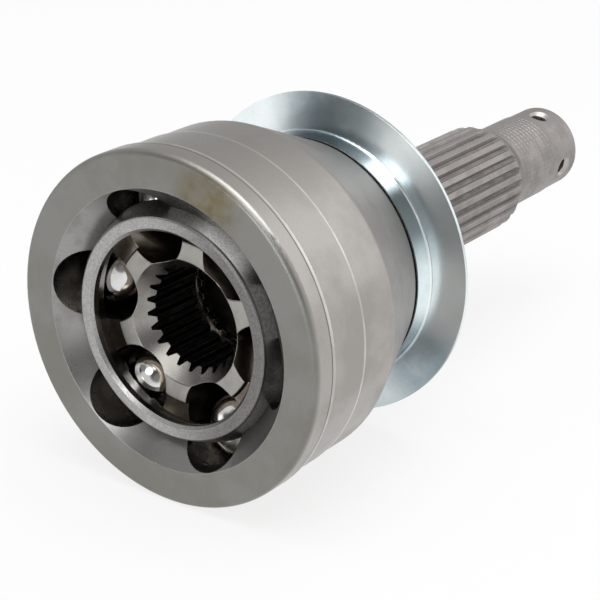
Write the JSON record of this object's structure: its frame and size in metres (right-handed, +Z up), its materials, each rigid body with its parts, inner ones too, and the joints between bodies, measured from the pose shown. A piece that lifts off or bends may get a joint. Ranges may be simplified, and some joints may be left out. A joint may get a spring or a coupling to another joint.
{
  "type": "constant velocity joint",
  "caption": "Fixed constant velocity joint for a drive axle: bell with splined stub, ball cage, tilting inner race and balls, with a dust shield.",
  "frame": {"origin": "on the axis, in the plane of the shoulder that the wheel hub seats on", "axes": "+Y along the stub, away from the bell's mouth; +Z up"},
  "size_m": [0.0802, 0.162, 0.0802],
  "materials": {
    "forged_steel": "turned and ground forging, satin, lightly oiled",
    "zinc_plate": "bright zinc plate on pressed sheet",
    "phosphated_steel": "hardened, dark and mottled, oiled",
    "ground_steel": "turned lands, hardened tracks",
    "ball_steel": "polished bearing steel"
  },
  "bodies": {
    "outer": {"outer_race": "forged_steel", "dust_shield": "zinc_plate"},
    "inner": {"inner_race": "ground_steel"},
    "cage": {"cage": "phosphated_steel"},
    "ball_1": {"ball_1": "ball_steel"},
    "ball_2": {"ball_2": "ball_steel"},
    "ball_3": {"ball_3": "ball_steel"},
    "ball_4": {"ball_4": "ball_steel"},
    "ball_5": {"ball_5": "ball_steel"},
    "ball_6": {"ball_6": "ball_steel"}
  },
  "joints": [
    {"name": "race_tilt", "type": "hinge", "parent": "outer", "child": "inner", "pos_m": [0, -0.0445, 0], "axis": [0.1564, 0, 0.9877], "range_deg": [-42, 42]},
    {"name": "cage_tilt", "type": "hinge", "parent": "outer", "child": "cage", "pos_m": [0, -0.0445, 0], "axis": [0.1564, 0, 0.9877], "range_deg": [-21, 21]},
    {"name": "ball_1_roll", "type": "hinge", "parent": "outer", "child": "ball_1", "pos_m": [0, -0.0475, 0], "axis": [-0.7771, 0, 0.6293], "range_deg": [-10.5, 10.5]},
    {"name": "ball_2_roll", "type": "hinge", "parent": "outer", "child": "ball_2", "pos_m": [0, -0.0475, 0], "axis": [-0.9336, 0, -0.3584], "range_deg": [-10.5, 10.5]},
    {"name": "ball_3_roll", "type": "hinge", "parent": "outer", "child": "ball_3", "pos_m": [0, -0.0475, 0], "axis": [-0.1564, 0, -0.9877], "range_deg": [-21, 21]},
    {"name": "ball_4_roll", "type": "hinge", "parent": "outer", "child": "ball_4", "pos_m": [0, -0.0475, 0], "axis": [0.7771, 0, -0.6293], "range_deg": [-10.5, 10.5]},
    {"name": "ball_5_roll", "type": "hinge", "parent": "outer", "child": "ball_5", "pos_m": [0, -0.0475, 0], "axis": [0.9336, 0, 0.3584], "range_deg": [-10.5, 10.5]},
    {"name": "ball_6_roll", "type": "hinge", "parent": "outer", "child": "ball_6", "pos_m": [0, -0.0475, 0], "axis": [0.1564, 0, 0.9877], "range_deg": [-21, 21]}
  ],
  "couplings": [
    {"joint": "cage_tilt", "follows": "race_tilt", "ratio": 0.5},
    {"joint": "ball_1_roll", "follows": "race_tilt", "ratio": 0.25},
    {"joint": "ball_2_roll", "follows": "race_tilt", "ratio": -0.25},
    {"joint": "ball_3_roll", "follows": "race_tilt", "ratio": -0.5},
    {"joint": "ball_4_roll", "follows": "race_tilt", "ratio": -0.25},
    {"joint": "ball_5_roll", "follows": "race_tilt", "ratio": 0.25},
    {"joint": "ball_6_roll", "follows": "race_tilt", "ratio": 0.5}
  ]
}
